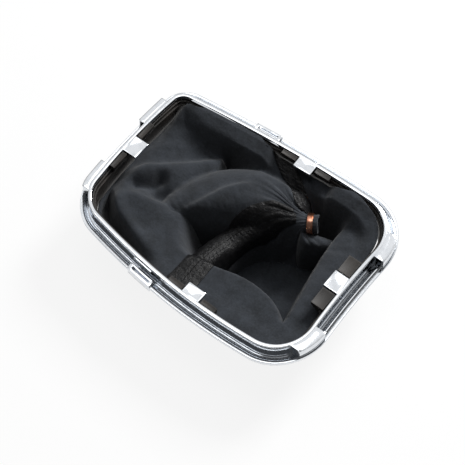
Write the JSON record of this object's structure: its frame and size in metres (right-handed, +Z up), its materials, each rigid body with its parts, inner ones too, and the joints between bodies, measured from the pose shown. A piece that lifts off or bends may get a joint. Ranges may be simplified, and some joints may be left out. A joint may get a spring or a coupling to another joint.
{
  "type": "gear lever gaiter",
  "caption": "Leather gear lever gaiter with its carrier frame clipped into a chromed surround, lying face down with the sock crushed under it.",
  "frame": {"origin": "centre of the box that holds the part, at the surface that it lies on", "axes": "+X from the narrow end of the surround to the wide end, +Z up out of the surround's back, towards the console's underside"},
  "size_m": [0.1732, 0.1304, 0.0453],
  "materials": {
    "chrome_plating": "chrome plated ABS, bright, dulled on its moulded back",
    "carrier_plastic": "moulded black nylon, low sheen",
    "gaiter_leather": "nappa leather, suede side to the inside, grained side outside",
    "copper_plating": "copper plated steel"
  },
  "bodies": {
    "root": {"chrome_surround": "chrome_plating", "carrier_frame": "carrier_plastic", "sock_panel_wide": "gaiter_leather", "sock_panel_narrow": "gaiter_leather", "neck_ring": "copper_plating"}
  },
  "joints": []
}
